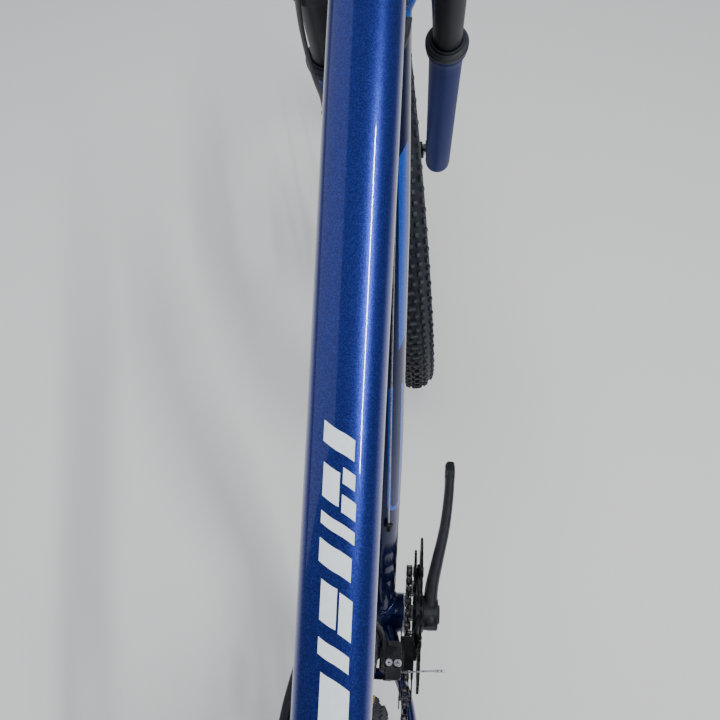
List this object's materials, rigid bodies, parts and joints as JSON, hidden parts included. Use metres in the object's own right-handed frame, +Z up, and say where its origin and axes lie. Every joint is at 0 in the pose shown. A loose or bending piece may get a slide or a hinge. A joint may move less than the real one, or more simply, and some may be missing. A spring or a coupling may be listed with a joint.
{
  "type": "bicycle frame",
  "caption": "Hardtail mountain bicycle frame, dressed with a suspension fork, wheels, cranks, chain and derailleurs, with turning, rolling and sprung parts.",
  "frame": {"origin": "on the ground below the middle of the wheelbase, on the frame's middle plane", "axes": "+X forward, +Y to the rider's left, +Z up"},
  "size_m": [1.7732, 0.186, 0.966],
  "materials": {
    "frame_blue": "metallic blue paint under a glossy clear coat",
    "frame_navy": "dark navy paint under a glossy clear coat",
    "fork_blue": "blue paint, satin gloss",
    "fork_black": "black anodised, satin",
    "black_metal": "black, satin",
    "crank_grey": "dark grey, satin",
    "ring_black": "black, semi-gloss",
    "bright_steel": "bright steel",
    "chain_steel": "oiled steel",
    "tyre_rubber": "matt black tread rubber",
    "soft_rubber": "matt black rubber",
    "hose_plastic": "dark plastic sleeve",
    "housing_blue": "bright blue plastic sleeve",
    "pulley_plastic": "black plastic"
  },
  "bodies": {
    "frame": {"top_tube": "frame_blue", "down_tube": "frame_navy", "seat_tube": "frame_navy", "head_tube": "frame_blue", "bottom_bracket_shell": "frame_navy", "chainstay_right": "frame_navy", "chainstay_left": "frame_navy", "seatstay_right": "frame_blue", "seatstay_left": "frame_blue", "dropout_right": "frame_navy", "dropout_left": "frame_navy", "chainstay_bridge": "frame_navy", "seatstay_bridge": "frame_blue", "seat_clamp": "black_metal", "seat_clamp_bolt": "bright_steel", "headset_upper_cup": "black_metal", "headset_lower_cup": "black_metal", "bottom_bracket": "bright_steel", "chain": "chain_steel", "rear_axle": "bright_steel", "rear_brake_caliper": "black_metal", "front_derailleur_body": "black_metal", "rear_derailleur_body": "black_metal", "cable_stop": "black_metal", "gear_cable": "bright_steel", "gear_cable_housing": "housing_blue"},
    "cranks": {"bottom_bracket_spindle": "bright_steel", "crank_arm_right": "crank_grey", "crank_arm_left": "crank_grey", "chainring_large": "ring_black", "chainring_middle": "ring_black", "chainring_small": "ring_black"},
    "rear_wheel": {"rear_tyre": "tyre_rubber", "rear_rim": "black_metal", "rear_hub": "black_metal", "rear_brake_rotor": "bright_steel"},
    "cassette": {"cassette": "bright_steel"},
    "rear_lever": {"rear_quick_release_lever": "bright_steel"},
    "mech_link": {"front_derailleur_link": "black_metal", "front_derailleur_cable_end": "bright_steel"},
    "mech_cage": {"front_derailleur_cage": "black_metal"},
    "rear_mech_cage": {"rear_derailleur_cage": "black_metal"},
    "guide_pulley": {"guide_pulley": "pulley_plastic"},
    "tension_pulley": {"tension_pulley": "pulley_plastic"},
    "fork_upper": {"steerer_tube": "fork_black", "fork_crown": "fork_black", "stanchion_right": "fork_black", "stanchion_left": "fork_black"},
    "fork_lower": {"fork_lowers": "fork_blue", "wiper_right": "soft_rubber", "wiper_left": "soft_rubber", "front_brake_hose": "hose_plastic", "front_brake_caliper": "black_metal", "front_axle": "bright_steel"},
    "front_wheel": {"front_tyre": "tyre_rubber", "front_rim": "black_metal", "front_hub": "black_metal", "front_brake_rotor": "bright_steel"},
    "front_lever": {"front_quick_release_lever": "bright_steel"}
  },
  "joints": [
    {"name": "steering", "type": "hinge", "parent": "frame", "child": "fork_upper", "pos_m": [0.49902, 0, 0.33531], "axis": [-0.3338, 0, 0.9426], "range_deg": [-78, 38]},
    {"name": "fork_travel", "type": "slide", "parent": "fork_upper", "child": "fork_lower", "axis": [-0.3338, 0, 0.9426], "range_m": [0, 0.1], "stiffness_N_per_m": 7000, "springref_m": -0.02},
    {"name": "front_wheel_spin", "type": "hinge", "parent": "fork_lower", "child": "front_wheel", "pos_m": [0.54009, 0.0062, 0.34985], "axis": [-0.1328, 0.99, -0.047], "continuous": true},
    {"name": "rear_wheel_spin", "type": "hinge", "parent": "frame", "child": "rear_wheel", "pos_m": [-0.53665, 0, 0.35], "axis": [0, 1, 0], "continuous": true},
    {"name": "crank_spin", "type": "hinge", "parent": "frame", "child": "cranks", "pos_m": [-0.0995, 0, 0.3], "axis": [0, 1, 0], "continuous": true},
    {"name": "cassette_spin", "type": "hinge", "parent": "frame", "child": "cassette", "pos_m": [-0.53665, 0, 0.35], "axis": [0, 1, 0], "continuous": true},
    {"name": "guide_pulley_spin", "type": "hinge", "parent": "rear_mech_cage", "child": "guide_pulley", "pos_m": [-0.5275, -0.0415, 0.272], "axis": [0, 1, 0], "continuous": true},
    {"name": "tension_pulley_spin", "type": "hinge", "parent": "rear_mech_cage", "child": "tension_pulley", "pos_m": [-0.5405, -0.0415, 0.18], "axis": [0, 1, 0], "continuous": true},
    {"name": "rear_mech_tension", "type": "hinge", "parent": "frame", "child": "rear_mech_cage", "pos_m": [-0.5275, -0.0415, 0.272], "axis": [0, -1, 0], "range_deg": [0, 30], "stiffness_Nm_per_rad": 0.6, "springref_deg": -34.38, "deforming": ["chain"]},
    {"name": "front_mech_swing", "type": "hinge", "parent": "frame", "child": "mech_link", "pos_m": [-0.1635, -0.03, 0.434], "axis": [-1, 0, 0], "range_deg": [0, 28], "stiffness_Nm_per_rad": 0.4, "springref_deg": -28.65},
    {"name": "front_mech_cage_pivot", "type": "hinge", "parent": "mech_link", "child": "mech_cage", "pos_m": [-0.1635, -0.024, 0.408], "axis": [-1, 0, 0], "range_deg": [-28, 0], "deforming": ["chain"]},
    {"name": "front_lever_swing", "type": "hinge", "parent": "fork_lower", "child": "front_lever", "pos_m": [0.53135, 0.07134, 0.34676], "axis": [-0.9332, -0.1409, -0.3305], "range_deg": [0, 170]},
    {"name": "rear_lever_swing", "type": "hinge", "parent": "frame", "child": "rear_lever", "pos_m": [-0.53665, 0.0813, 0.35], "axis": [-0.342, 0, 0.9397], "range_deg": [0, 170]}
  ],
  "couplings": [
    {"joint": "cassette_spin", "follows": "crank_spin", "ratio": 1.1429},
    {"joint": "guide_pulley_spin", "follows": "crank_spin", "ratio": -2.1818},
    {"joint": "tension_pulley_spin", "follows": "crank_spin", "ratio": 2.1818},
    {"joint": "front_mech_cage_pivot", "follows": "front_mech_swing", "ratio": -1}
  ]
}
